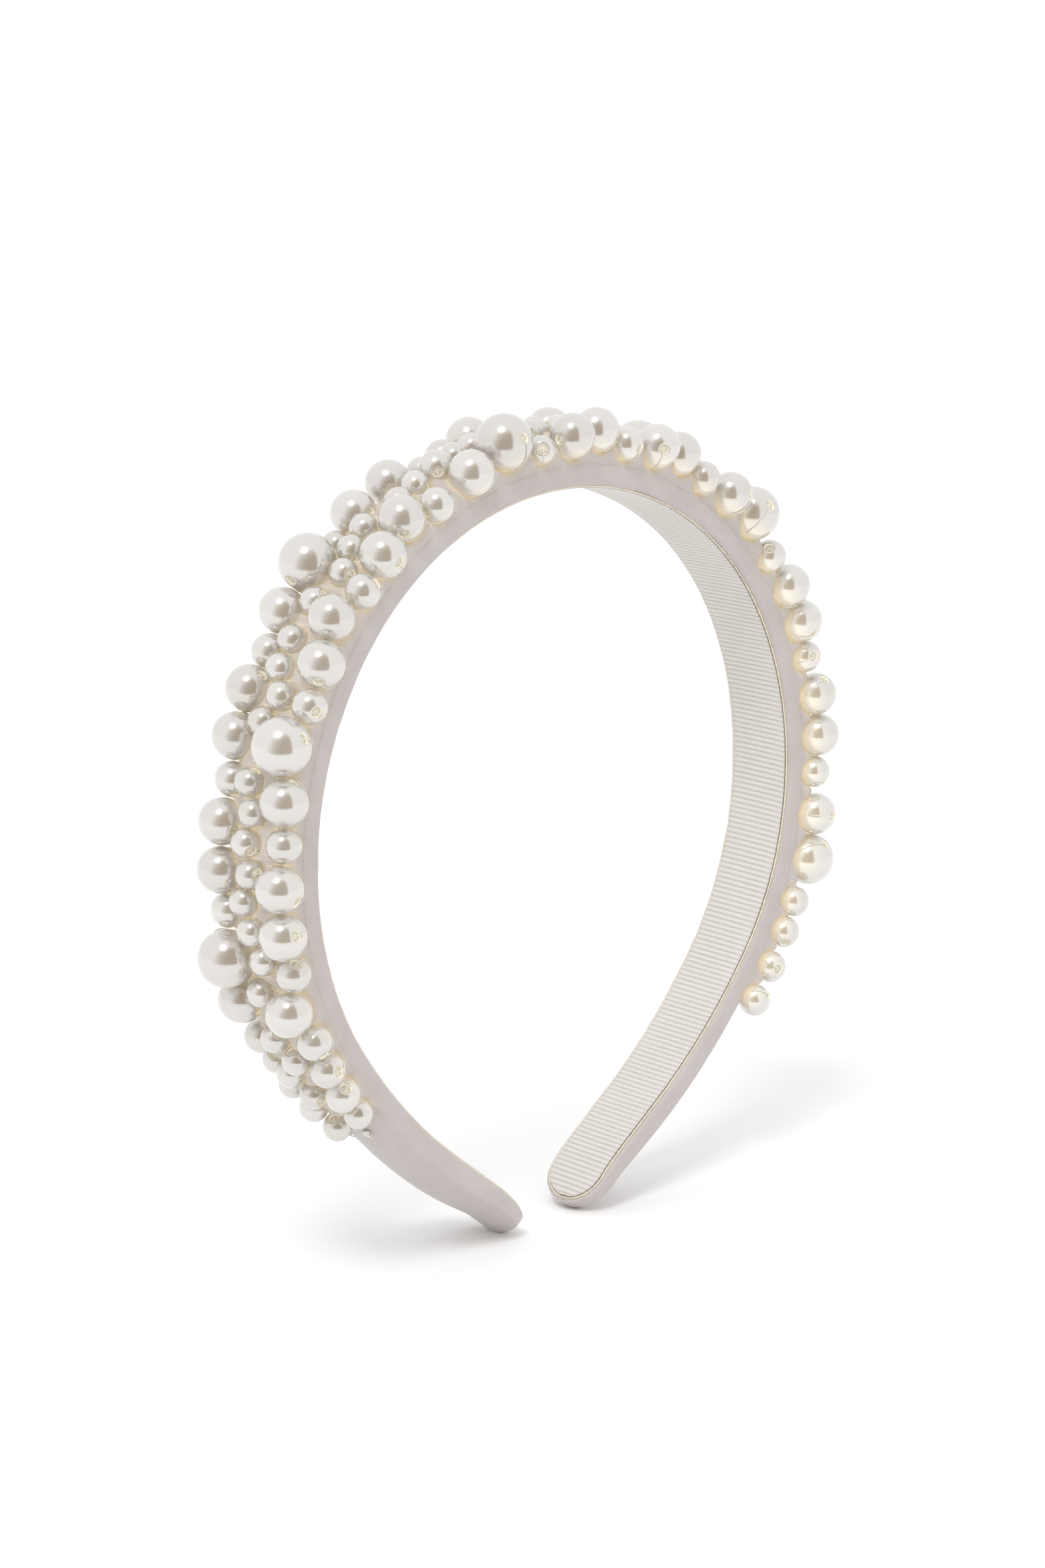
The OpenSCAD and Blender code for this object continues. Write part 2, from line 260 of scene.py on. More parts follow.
def solids_of(node):
    """The corners and triangles of each separate solid of a CAD node, in millimetres."""
    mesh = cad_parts[node].data
    mesh.calc_loop_triangles()
    points = np.array([v.co for v in mesh.vertices]) / MM
    triangles = np.array([t.vertices for t in mesh.loop_triangles])
    _, same = np.unique(points.round(4), axis=0, return_inverse=True)
    triangles_met = same.reshape(-1)[triangles]
    leader = np.arange(same.max() + 1)
    while True:
        lowest = leader[triangles_met].min(axis=1)
        new = leader.copy()
        np.minimum.at(new, triangles_met.ravel(), np.repeat(lowest, 3))
        new = new[new]
        if (new == leader).all():
            break
        leader = new
    owner = leader[triangles_met[:, 0]]
    return [(points, triangles[owner == k]) for k in np.unique(owner)]


def fit_ball(points, triangles):
    """Centre and radius of a drilled ball, and the direction of its hole."""
    used = points[np.unique(triangles)]
    rows = np.hstack([2 * used, np.ones((len(used), 1))])
    found = np.linalg.lstsq(rows, (used**2).sum(1), rcond=None)[0]
    centre = found[:3]
    radius = math.sqrt(found[3] + centre @ centre)
    a, b, c = (points[triangles[:, i]] for i in range(3))
    normal = np.cross(b - a, c - a)
    inward = ((a + b + c) / 3 - centre) * normal
    wall = normal[inward.sum(1) < 0]
    if len(wall) == 0:
        return centre, radius, None
    direction = np.linalg.eigh(wall.T @ wall)[1][:, 0]
    return centre, radius, direction


PEARLS = [
    (zone, size, *fit_ball(*solid))
    for zone in ZONES
    for size in SIZES
    for solid in solids_of(f"{zone}_pearls_{size}")
]
PEARL_CENTRES = np.array([p[2] for p in PEARLS])
PEARL_RADII = np.array([p[3] for p in PEARLS])


def near_pearls(points, falloff):
    """1 where points touch a pearl, falling to 0 a few falloffs away."""
    mask = np.zeros(points.shape[:-1])
    for centre, radius in zip(PEARL_CENTRES, PEARL_RADII):
        gap = np.linalg.norm(points - centre, axis=-1) - radius
        mask = np.maximum(mask, np.exp(-np.clip(gap, 0, None) / falloff))
    return mask


def band_place(point):
    """Signed distance along the band, and height over it, of a point beside it."""
    side = -1 if point[0] < 0 else 1
    s = np.linspace(0, END_S, 1500)
    x, z, slope = place(s)
    i = int(np.argmin((side * point[0] - x) ** 2 + (point[2] - z) ** 2))
    height = (side * point[0] - x[i]) * np.sin(slope[i]) + (point[2] - z[i]) * np.cos(slope[i])
    return side * s[i], height


def out_of_band(point):
    """Unit vector straight out of the band beside a point."""
    signed_s, _ = band_place(point)
    slope = float(place(abs(signed_s))[2])
    return np.array([math.copysign(1, signed_s) * math.sin(slope), 0, math.cos(slope)])


STITCHES = [
    (band_place(centre)[0], math.copysign(1, centre[1]))
    for centre in PEARL_CENTRES
    if abs(centre[1]) > 4
]


# ---------------------------------------------------------------- satin cover
def cover_half_outline(s, inset=0.0):
    """Height and distance across of one half of the cover's outline, hem edge to centre line."""
    width = float(half_width(s, inset))
    full = HALF_W - inset
    hem_edge = float(half_width(s, HEM))
    corner = 0.9
    low = LIP + inset
    turn = np.linspace(0, math.pi / 2, 6)
    shoulder = np.linspace(0, 1, 7)[1:-1]
    dome_from = math.radians(42)
    dome = np.linspace(dome_from, 0, 12)
    dome_r = DOME_R - inset
    mid = PAD_H - DOME_R
    dome_u, dome_v = mid + dome_r * np.cos(dome), dome_r * np.sin(dome)
    # the shoulder is a smooth curve from the side wall to the dome
    bend = np.array([[SIDE_H, full], [SIDE_H + 0.62, full - 0.02], [dome_u[0], dome_v[0]]])
    curve = [
        (1 - t) ** 2 * bend[0] + 2 * t * (1 - t) * bend[1] + t * t * bend[2] for t in shoulder
    ]
    u = np.concatenate([
        np.full(6, low), low + corner * (1 - np.cos(turn)),
        np.linspace(low + corner, SIDE_H, 6)[1:], [c[0] for c in curve], dome_u,
    ])
    v_edge = np.linspace(0, 1, 7)[:-1] * (full - corner)
    v = np.concatenate([
        v_edge, full - corner + corner * np.sin(turn),
        np.full(5, full), [c[1] for c in curve], dome_v,
    ])
    v = v * width / full
    v[:6] = hem_edge + (v[6] - hem_edge) * np.linspace(0, 1, 7)[:-1]
    height = float(crown_height(s)) - inset
    u = low + (u - low) * (height - low) / (PAD_H - inset - low)
    return u, v


def mirrored_outline(u, v):
    """The whole outline from one hem edge to the other, with the front side first."""
    return np.concatenate([u, u[-2::-1]]), np.concatenate([-v, v[-2::-1]])


def cover_relief(signed_s, around, v, u):
    """How far the cloth stands in or out: soft creases, and dimples where it is stitched."""
    edge = min(1.0, max(0.0, (abs(v) - 5.5) / 1.5))
    crease = 0.055 * smooth_noise(signed_s * 0.33, around * 0.10, 3.1)
    crease += 0.030 * smooth_noise(signed_s * 0.9, around * 0.22, 7.7)
    crease += 0.12 * smooth_noise(signed_s * 0.09, around * 0.05, 1.3)
    return crease * (0.35 + 0.65 * edge)


def stitch_dimples(signed_s, u, v):
    """Depth of the dimples below the edge pearls, for arrays of points."""
    depth = np.zeros_like(u)
    for at, side in STITCHES:
        close = np.exp(-(((signed_s - at - 0.8) / 1.1) ** 2) - ((u - 4.6) / 0.9) ** 2)
        depth += 0.32 * close * (np.sign(v) == side) * (np.abs(v) > 5)
    return np.clip(depth, 0, 0.4)


PUFF = 2.6  # how far the padded cloth swells up between the pearls at most
PEARL_CLEAR = 0.12  # the swollen cloth stays this far from a pearl
PEARLS_NEAR = 22  # pearls further away than this can't touch a ring of the cover
PEARL_ROWS = (-142, 140)  # where the rows start and end


def puffed(side, s, u, v):
    """How far the padding swells at each point of a ring, where no pearl holds it down."""
    here = on_band(side, s, u, v)
    out = on_band(side, s, u + 1, v * 1.04) - here
    out /= np.linalg.norm(out, axis=-1, keepdims=True)
    close = np.linalg.norm(PEARL_CENTRES - here.mean(axis=0), axis=-1) < PEARLS_NEAR
    centres, radii = PEARL_CENTRES[close], PEARL_RADII[close]
    rise = np.zeros(len(u))
    if not close.any():
        return rise
    free = np.ones(len(u), bool)
    for step in np.arange(0.2, PUFF + 0.01, 0.2):
        moved = here + out * step
        gap = (np.linalg.norm(moved[:, None] - centres, axis=-1) - radii).min(axis=1)
        free &= gap > PEARL_CLEAR
        rise[free] = step
    rise = np.convolve(np.pad(rise, 1, "edge"), [0.25, 0.5, 0.25], "valid")
    signed_s = side * s
    inner = np.clip((7.3 - np.abs(v)) / 1.2, 0, 1)
    rows = np.clip(min(signed_s - PEARL_ROWS[0], PEARL_ROWS[1] - signed_s) / 3, 0, 1)
    return rise * inner * rows


def shelled(u, v, thickness):
    """An outline and its copy set in by the cloth's thickness, as one closed ring."""
    du, dv = np.gradient(u), np.gradient(v)
    size = np.maximum(np.hypot(du, dv), 1e-6)
    inner_u, inner_v = u + thickness * dv / size * -1, v + thickness * du / size
    return np.concatenate([u, inner_u[::-1]]), np.concatenate([v, inner_v[::-1]])


def satin_cover(side, name):
    """One half of the satin cover, turned in at its edges and folded round the tip."""
    rings, cloth = [], []
    for s in stations(0.5):
        u, v = mirrored_outline(*cover_half_outline(s))
        around = np.concatenate([[0], np.cumsum(np.hypot(np.diff(u), np.diff(v)))])
        around -= around[-1] / 2
        relief = np.array([
            cover_relief(side * s, a, vi, ui) for a, vi, ui in zip(around, v, u)
        ]) - stitch_dimples(side * s, u, v)
        relief += puffed(side, s, u, v) * (u > SIDE_H)
        fade = min(1.0, float(half_width(s)) / 4)
        du, dv = np.gradient(u), np.gradient(v)
        size = np.maximum(np.hypot(du, dv), 1e-6)
        u, v = u + relief * fade * dv / size, v - relief * fade * du / size
        shell_u, shell_v = shelled(u, v, min(CLOTH_T, 0.2 + 0.15 * fade))
        ring = on_band(side, s, shell_u, shell_v)
        rings.append(ring)
        both = np.concatenate([around, around[::-1]])
        cloth.append(np.stack([np.full_like(both, side * s), both, shell_u], axis=-1))
    rings = np.array(rings)
    rings[..., 2] = np.maximum(rings[..., 2], 0)
    return loft(
        name, rings,
        # mask for the painted bounce light and glow on the satin near the pearls
        values={"satin_bounce_light": near_pearls(rings, 1.1)},
        vectors={"cloth": np.array(cloth)},
    )


# ---------------------------------------------------------------- grosgrain ribbon
RIBBON_HALF = 6.3
RIB_PITCH = 1.0
RIB_SLANT = 0.05  # how far a rib runs along the band for each millimetre across it
SELVEDGE = 0.95
TIP_SHOW = 1.3  # how much of the turned-in cover shows past the ribbon's end


def ribbon_face(signed_s, across, half):
    """Height of the ribbed face below its highest point, for arrays of points."""
    slanted = signed_s + RIB_SLANT * across
    rib = np.abs(np.sin(math.pi * slanted / RIB_PITCH)) ** 0.7
    from_edge = np.clip(half - np.abs(across), 0, None)
    body = np.clip((from_edge - SELVEDGE) / 0.25, 0, 1)
    loops = 0.5 + 0.5 * np.cos(2 * math.pi * slanted / (RIB_PITCH / 2))
    edge_band = np.clip(1 - from_edge / SELVEDGE, 0, 1)
    border = 0.10 * loops * np.sin(math.pi * edge_band) + 0.02
    return 0.2 * (1 - rib) * body + border * (1 - body)


def lining_ribbon(side, name):
    """One half of the grosgrain ribbon that lines the band, with its ribs and selvedges."""
    steps = stations(RIB_PITCH / 9)
    end = END_S - TIP_SHOW
    steps = np.unique(np.round(np.concatenate([
        steps[steps < END_S - TIP_ROUND],
        END_S - TIP_ROUND + (TIP_ROUND - TIP_SHOW) * np.sin(np.linspace(0, math.pi / 2, 60)),
    ]), 6))
    selvedge = np.linspace(0, 1, 6)[:-1] * SELVEDGE
    middle = np.linspace(0, 1, 13)
    rings, cloth = [], []
    for s in steps:
        half = float(half_width(s, HALF_W - RIBBON_HALF))
        if s > end - 0.01:
            half = 0.0
        picot = 0.07 * (0.5 + 0.5 * math.cos(4 * math.pi * s / RIB_PITCH))
        edge = min(selvedge[-1] + 0.2, half)
        left = -half + selvedge * min(1.0, half / 3)
        inner = -half + edge
        across = np.concatenate([left, inner + (-2 * inner) * middle, -left[::-1]])
        across[[0, -1]] += np.array([picot, -picot]) * min(1.0, half)
        face = ribbon_face(side * s, across, half)
        wave = 0.05 * smooth_noise(side * s * 0.12, 4.0, 9.0) + 0.05
        u = np.concatenate([face + wave, [RIBBON_T - 0.06] * 2])
        v = np.concatenate([across, [across[-1], across[0]]])
        rings.append(on_band(side, s, u, v))
        cloth.append(np.stack([side * s + RIB_SLANT * v, v, u], axis=-1))
    return loft(name, np.array(rings), vectors={"cloth": np.array(cloth)})


# ---------------------------------------------------------------- glue line
def glue_line(side, name):
    """The bead of glue along both edges of the ribbon and round its end."""
    middle_s = END_S - TIP_ROUND
    run = np.arange(0, middle_s, 0.5)
    gap = HALF_W - RIBBON_HALF - 0.28
    turn = np.linspace(-math.pi / 2, math.pi / 2, 40)
    turn_r = float(half_width(middle_s, gap))
    s = np.concatenate([run, middle_s + turn_r * np.cos(turn), run[::-1]])
    v = np.concatenate([-half_width(run, gap), turn_r * np.sin(turn), half_width(run[::-1], gap)])
    path = on_band(side, s, 0.42, v)
    points, faces = tube(path, 1.0, sides=8)
    rings = points.reshape(len(path), 8, 3)
    wide = np.array([
        0.15 + 0.05 * smooth_noise(side * a * 0.8, b, 2.0) + 0.05 * smooth_noise(side * a * 2.3, b, 5.0)
        for a, b in zip(s, v)
    ])
    rings = path[:, None] + (rings - path[:, None]) * wide[:, None, None]
    return outward(new_piece(name, rings.reshape(-1, 3), faces, seam_faces=2))


# ---------------------------------------------------------------- foam padding
def foam_padding(side, name):
    """One half of the foam pad, a soft domed strip inside the cover."""
    rings = []
    inset = 0.45
    base = 2.25
    for s in stations(2.0):
        if s > END_S - 1.6:
            break
        u, v = mirrored_outline(*cover_half_outline(s, inset))
        scale = max(0.05, min(1.0, float(half_width(s, 1.6)) / float(half_width(s, inset))))
        keep = slice(6, -6)
        rings.append(on_band(side, s, np.maximum(u[keep], min(base, u.max() - 0.3)), v[keep] * scale))
    return loft(name, np.array(rings))


# ---------------------------------------------------------------- pearls
HOLE_R = 0.85
RIM = 0.28  # rounding of the hole's rim
LACQUER = 0.1  # how far a drawn pearl stands proud of its solid


def pearl_profile(radius, count):
    """Distances from and along the hole's axis, and how much each point belongs to the bore."""
    mid = math.sqrt((radius - RIM) ** 2 - (HOLE_R + RIM) ** 2)
    rim_end = math.atan2(mid, HOLE_R + RIM)
    turn = np.linspace(math.pi, rim_end, 6)
    rim = np.stack([HOLE_R + RIM + RIM * np.cos(turn), mid + RIM * np.sin(turn)], axis=1)
    ball = np.linspace(rim_end, -rim_end, count)[1:-1]
    shell = np.stack([radius * np.cos(ball), radius * np.sin(ball)], axis=1)
    low_rim = rim[::-1] * [1, -1]
    wall = np.array([[HOLE_R, -mid * 0.6], [HOLE_R, 0], [HOLE_R, mid * 0.6]])
    profile = np.concatenate([rim, shell, low_rim, wall])
    bore = np.concatenate([
        [1, 1, 0.5, 0, 0, 0], np.zeros(len(shell)), [0, 0, 0, 0.5, 1, 1], np.ones(3),
    ])
    return profile, bore


def pearl(centre, radius, direction):
    """Points, faces and bore mask of one drilled pearl."""
    around = 40 if radius > 3.5 else 32
    profile, bore = pearl_profile(radius, around // 2 + 2)
    axis = Vector(direction).normalized()
    side = np.array(axis.orthogonal().normalized())
    axis = np.array(axis)
    third = np.cross(axis, side)
    turn = np.linspace(0, 2 * math.pi, around, endpoint=False)
    ring = np.cos(turn)[:, None] * side + np.sin(turn)[:, None] * third
    points = centre + profile[None, :, :1] * ring[:, None] + profile[None, :, 1:] * axis
    size = len(profile)
    faces = [
        (a * size + i, ((a + 1) % around) * size + i,
         ((a + 1) % around) * size + (i + 1) % size, a * size + (i + 1) % size)
        for a in range(around)
        for i in range(size)
    ]
    return points.reshape(-1, 3), faces, np.tile(bore, around)


def pearl_group(zone, size):
    """All pearls of one size on one body, as one piece of separate pearls."""
    parts, bores, tones, pearl_bounce_lights = [], [], [], []
    for i, (its_zone, its_size, centre, radius, direction) in enumerate(PEARLS):
        if (its_zone, its_size) != (zone, size):
            continue
        points, faces, bore = pearl(centre, radius + LACQUER, direction)
        parts.append((points, faces))
        bores.append(bore)
        tones.append(np.full(len(points), (i * 0.618) % 1))
        # painted bounce light: a cream tint and faint glow on each pearl's underside towards the band and
        # where it sits beside another pearl
        lift = (points - centre) @ out_of_band(centre) / radius
        beside = np.zeros(len(points))
        for j, (other, other_r) in enumerate(zip(PEARL_CENTRES, PEARL_RADII)):
            if j != i and np.linalg.norm(other - centre) < radius + other_r + 3:
                gap = np.linalg.norm(points - other, axis=1) - other_r
                beside = np.maximum(beside, np.exp(-np.clip(gap, 0, None) / 0.7))
        pearl_bounce_lights.append(np.clip(np.clip(-0.1 - lift, 0, 1) + 0.8 * beside, 0, 1))
    piece = new_piece(f"pearls_{size}_{zone}", *gather(parts))
    add_values(piece, "bore", np.concatenate(bores))
    add_values(piece, "tone", np.concatenate(tones))
    add_values(piece, "pearl_bounce_light", np.concatenate(pearl_bounce_lights))
    return outward(piece)


# ---------------------------------------------------------------- sewing thread
THREAD_R = 0.11
BUNDLE_R = 0.74  # the thread passes many times through each pearl and fills its hole
BUNDLE_SHORT = 0.45  # the bundle ends this far inside the pearl's surface


def stitch(centre, radius, direction, out):
    """The thread through one pearl: two strands that leave it for the cloth, and the bundle inside."""
    hug = radius + LACQUER + THREAD_R
    bundle = np.array([
        centre + direction * (radius - BUNDLE_SHORT) * t for t in (-1, -0.9, 0, 0.9, 1)
    ])

    def down(sign, share):
        """Direction from the centre, turning from the hole (0) towards the cloth (1)."""
        a, b = sign * direction, -out
        angle = math.acos(max(-1, min(1, float(a @ b))))
        t = share * 0.8
        return (math.sin((1 - t) * angle) * a + math.sin(t * angle) * b) / math.sin(angle)

    first = [centre + hug * down(-1, t) for t in np.linspace(1, 0.12, 9)]
    last = [centre + hug * down(1, t) for t in np.linspace(0.12, 1, 9)]
    inside = [centre + direction * radius * t for t in (-0.9, -0.6, 0, 0.6, 0.9)]
    strand = tube(np.array(first + inside + last), THREAD_R, sides=8)
    return gather([strand, tube(bundle, BUNDLE_R, sides=16)])


def knot(centre, out):
    """A small tight knot with two cut tails."""
    turn = np.linspace(0, 2 * math.pi, 40)
    tight = 0.34
    loop = np.stack([
        np.sin(turn) + 2 * np.sin(2 * turn), np.cos(turn) - 2 * np.cos(2 * turn), -np.sin(3 * turn)
    ], axis=1) * tight / 1.6
    across = np.cross(out, [0.2, 1, 0.1])
    across /= np.linalg.norm(across)
    turned = np.stack([across, np.cross(out, across), out])
    parts = [tube(centre + loop @ turned, 0.24, sides=10)]
    for sign in (-1, 1):
        tail = [[0, 0, 0], [0.5, 0.2 * sign, 0.1], [1.0, 0.5 * sign, 0.0], [1.3, 0.9 * sign, -0.2]]
        parts.append(tube(centre + np.array(tail) * [sign, 1, 1] @ turned, THREAD_R, sides=8))
    return parts


def sewing_thread(zone):
    """All the thread that shows on one body, with its knots past the row ends."""
    parts = []
    for its_zone, _, centre, radius, direction in PEARLS:
        if its_zone != zone:
            continue
        parts.append(stitch(centre, radius, direction, out_of_band(centre)))
    for points, triangles in solids_of(f"{zone}_thread"):
        used = points[np.unique(triangles)]
        size = used.max(0) - used.min(0)
        if size.max() < 1.8 and size.min() > 1.3:
            centre = (used.max(0) + used.min(0)) / 2
            out = out_of_band(centre)
            parts += knot(centre - 0.35 * out, out)
    return outward(new_piece(f"sewing_thread_{zone}", *gather(parts)))


# ---------------------------------------------------------------- shader groups
def node_group(name, inputs, outputs):
    """An empty shader group with named sockets. Each is (name, kind, value)."""
    group = bpy.data.node_groups.new(name, "ShaderNodeTree")
    for key, kind, value in inputs:
        socket = group.interface.new_socket(name=key, in_out="INPUT", socket_type="NodeSocket" + kind)
        if value is not None:
            socket.default_value = value
    for key, kind in outputs:
        group.interface.new_socket(name=key, in_out="OUTPUT", socket_type="NodeSocket" + kind)
    return group, group.nodes.new("NodeGroupInput"), group.nodes.new("NodeGroupOutput")


def add_math(tree, operation, *values):
    """A math node: each value is a number or an output socket."""
    node = tree.nodes.new("ShaderNodeMath")
    node.operation = operation
    for socket, value in zip(node.inputs, values):
        if isinstance(value, (int, float)):
            socket.default_value = value
        else:
            tree.links.new(value, socket)
    return node.outputs[0]


def add_noise(tree, coordinate, scale, detail=3.0):
    node = tree.nodes.new("ShaderNodeTexNoise")
    node.inputs["Detail"].default_value = detail
    tree.links.new(coordinate, node.inputs["Vector"])
    if isinstance(scale, (int, float)):
        node.inputs["Scale"].default_value = scale
    else:
        tree.links.new(scale, node.inputs["Scale"])
    return node.outputs["Fac"]


def add_mix(tree, share, first, second):
    """Mixes two colours by share."""
    node = tree.nodes.new("ShaderNodeMix")
    node.data_type = "RGBA"
    for socket, value in zip((node.inputs[0], node.inputs[6], node.inputs[7]), (share, first, second)):
        if isinstance(value, (int, float, tuple)):
            socket.default_value = value
        else:
            tree.links.new(value, socket)
    return node.outputs[2]


def add_weighted(tree, first, first_weight, second, second_weight):
    """The sum of two values, each times its weight."""
    return add_math(
        tree, "ADD",
        add_math(tree, "MULTIPLY", first, first_weight), add_math(tree, "MULTIPLY", second, second_weight),
    )


def make_colour_drift():
    """Slow and fine variation between two colours."""
    group, start, end = node_group(
        "colour_drift",
        [("Coordinate", "Vector", None), ("Scale", "Float", 1.0), ("Amount", "Float", 0.5),
         ("Colour", "Color", (1, 1, 1, 1)), ("Second Colour", "Color", (1, 1, 1, 1))],
        [("Colour", "Color")],
    )
    slow = add_noise(group, start.outputs["Coordinate"], start.outputs["Scale"], 2.0)
    fine_scale = add_math(group, "MULTIPLY", start.outputs["Scale"], 7.0)
    fine = add_noise(group, start.outputs["Coordinate"], fine_scale, 4.0)
    both = add_weighted(group, slow, 0.7, fine, 0.3)
    spread = add_math(group, "MULTIPLY", add_math(group, "SUBTRACT", both, 0.36), 3.5)
    held = add_math(group, "MINIMUM", add_math(group, "MAXIMUM", spread, 0.0), 1.0)
    share = add_math(group, "MULTIPLY", held, start.outputs["Amount"])
    mixed = add_mix(group, share, start.outputs["Colour"], start.outputs["Second Colour"])
    group.links.new(mixed, end.inputs["Colour"])
    return group


def make_thread_weave():
    """Raised threads that run both ways through cloth, from a coordinate in millimetres."""
    group, start, end = node_group(
        "thread_weave",
        [("Coordinate", "Vector", None), ("Along Pitch", "Float", 0.3), ("Across Pitch", "Float", 0.3),
         ("Unevenness", "Float", 0.3)],
        [("Height", "Float"), ("Shade", "Float")],
    )
    split = group.nodes.new("ShaderNodeSeparateXYZ")
    group.links.new(start.outputs["Coordinate"], split.inputs[0])
    waves = []
    for axis, pitch in (("X", "Along Pitch"), ("Y", "Across Pitch")):
        turns = add_math(group, "DIVIDE", split.outputs[axis], start.outputs[pitch])
        wave = add_math(group, "SINE", add_math(group, "MULTIPLY", turns, math.pi))
        waves.append(add_math(group, "ABSOLUTE", wave))
    uneven = add_noise(group, start.outputs["Coordinate"], 1.7, 4.0)
    height = add_weighted(group, waves[0], 0.7, waves[1], 0.3)
    unevenness = add_math(group, "MULTIPLY", uneven, start.outputs["Unevenness"])
    height = add_math(group, "ADD", height, unevenness)
    group.links.new(height, end.inputs["Height"])
    group.links.new(waves[0], end.inputs["Shade"])
    return group


COLOUR_DRIFT = make_colour_drift()
THREAD_WEAVE = make_thread_weave()


# ---------------------------------------------------------------- materials
class Finish:
    """A material with a Principled shader, and short ways to feed its sockets."""

    def __init__(self, name, **sockets):
        self.material = bpy.data.materials.new(name)
        self.material.use_nodes = True
        self.tree = self.material.node_tree
        self.shader = self.tree.nodes["Principled BSDF"]
        for key, value in sockets.items():
            self.shader.inputs[key.replace("_", " ")].default_value = value

    def attribute(self, name, output="Fac"):
        node = self.tree.nodes.new("ShaderNodeAttribute")
        node.attribute_name = name
        return node.outputs[output]

    def group(self, group, **sockets):
        node = self.tree.nodes.new("ShaderNodeGroup")
        node.node_tree = group
        for key, value in sockets.items():
            socket = node.inputs[key.replace("_", " ")]
            if isinstance(value, (int, float, tuple)):
                socket.default_value = value
            else:
                self.tree.links.new(value, socket)
        return node

    def feed(self, source, socket):
        self.tree.links.new(source, self.shader.inputs[socket])

    def bump(self, height, distance, strength=1.0):
        node = self.tree.nodes.new("ShaderNodeBump")
        node.inputs["Distance"].default_value = distance
        node.inputs["Strength"].default_value = strength
        self.tree.links.new(height, node.inputs["Height"])
        self.feed(node.outputs["Normal"], "Normal")

    def object_place(self):
        return self.tree.nodes.new("ShaderNodeTexCoord").outputs["Object"]


def make_satin():
    """Lilac-grey satin with fine cross threads; near the pearls a painted cream bounce light and a faint
    painted glow.
    """
    finish = Finish("satin_cloth", Roughness=0.45, Sheen_Weight=0.25, Sheen_Roughness=0.35,
                    Specular_IOR_Level=0.4, Emission_Strength=1.0)
    cloth = finish.attribute("cloth", "Vector")
    weave = finish.group(THREAD_WEAVE, Coordinate=cloth,
                         Along_Pitch=0.42, Across_Pitch=0.16, Unevenness=0.5)
    drift = finish.group(COLOUR_DRIFT, Coordinate=cloth, Scale=0.12, Amount=0.6,
                         Colour=(0.475, 0.43, 0.41, 1), Second_Colour=(0.545, 0.505, 0.485, 1))
    # painted bounce light: a cream tint and a faint glow on the satin close to the pearls
    near = finish.attribute("satin_bounce_light")
    spread = add_math(finish.tree, "POWER", near, 2.2)
    bounce_lit_colour = add_mix(finish.tree, spread, drift.outputs["Colour"], (0.74, 0.64, 0.47, 1))
    finish.feed(add_mix(finish.tree, spread, (0, 0, 0, 1), (0.42, 0.355, 0.235, 1)), "Emission Color")
    # painted shade: each fine cross thread lighter, darker between the threads
    threads = add_math(finish.tree, "MULTIPLY", weave.outputs["Shade"], 0.16)
    shaded = add_mix(finish.tree, threads, bounce_lit_colour, (0.66, 0.62, 0.59, 1))
    finish.feed(shaded, "Base Color")
    finish.bump(weave.outputs["Height"], 0.035 * MM, 0.8)
    return finish.material


def make_grosgrain():
    """Ribbed ribbon with fine threads along each rib."""
    finish = Finish("grosgrain_ribbon", Roughness=0.62, Sheen_Weight=0.3, Sheen_Roughness=0.4,
                    Specular_IOR_Level=0.3)
    cloth = finish.attribute("cloth", "Vector")
    weave = finish.group(THREAD_WEAVE, Coordinate=cloth,
                         Along_Pitch=RIB_PITCH, Across_Pitch=0.22, Unevenness=0.4)
    drift = finish.group(COLOUR_DRIFT, Coordinate=cloth, Scale=0.08, Amount=0.6,
                         Colour=(0.50, 0.47, 0.44, 1), Second_Colour=(0.56, 0.53, 0.50, 1))
    # painted shade: rib tops lighter, the grooves between ribs darker
    rib = add_math(finish.tree, "MULTIPLY", weave.outputs["Shade"], 0.7)
    shaded = add_mix(finish.tree, rib, drift.outputs["Colour"], (0.76, 0.73, 0.69, 1))
    finish.feed(shaded, "Base Color")
    finish.bump(weave.outputs["Height"], 0.04 * MM, 0.6)
    return finish.material


def make_pearl():
    """Pearl lacquer on plastic: a bright half-mirror coat over a creamy body."""
    finish = Finish("pearl_lacquer", IOR=1.9, Coat_Roughness=0.06, Coat_IOR=1.5,
                    Emission_Strength=1.0)
    place_in = finish.object_place()
    tone = finish.attribute("tone")
    body = add_mix(finish.tree, tone, (0.665, 0.64, 0.605, 1), (0.725, 0.705, 0.675, 1))
    drift = finish.group(COLOUR_DRIFT, Coordinate=place_in, Scale=90.0, Amount=0.25,
                         Second_Colour=(0.70, 0.67, 0.62, 1))
    finish.tree.links.new(body, drift.inputs["Colour"])
    # painted bounce light: a cream tint on the undersides and between touching pearls
    pearl_bounce_light = add_math(finish.tree, "POWER", finish.attribute("pearl_bounce_light"), 2.0)
    bounce_lit_colour = add_mix(finish.tree, pearl_bounce_light, drift.outputs["Colour"], (0.88, 0.82, 0.68, 1))
    bore = finish.attribute("bore")
    finish.feed(add_mix(finish.tree, bore, bounce_lit_colour, (0.84, 0.80, 0.68, 1)), "Base Color")
    # painted glow where pearls touch and at their holes, standing in for light that comes through the body
    through = add_math(finish.tree, "MAXIMUM", pearl_bounce_light, bore)
    finish.feed(add_mix(finish.tree, through, (0, 0, 0, 1), (0.23, 0.20, 0.145, 1)), "Emission Color")
    clear = add_math(finish.tree, "SUBTRACT", 1.0, bore)
    finish.feed(add_math(finish.tree, "MULTIPLY", clear, 0.58), "Metallic")
    finish.feed(add_math(finish.tree, "MULTIPLY", clear, 0.6), "Coat Weight")
    haze = add_noise(finish.tree, place_in, 400.0, 3.0)
    rough = add_math(finish.tree, "ADD", 0.14, add_math(finish.tree, "MULTIPLY", haze, 0.08))
    bore_rough = add_math(finish.tree, "MULTIPLY", bore, 0.35)
    finish.feed(add_math(finish.tree, "ADD", rough, bore_rough), "Roughness")
    return finish.material


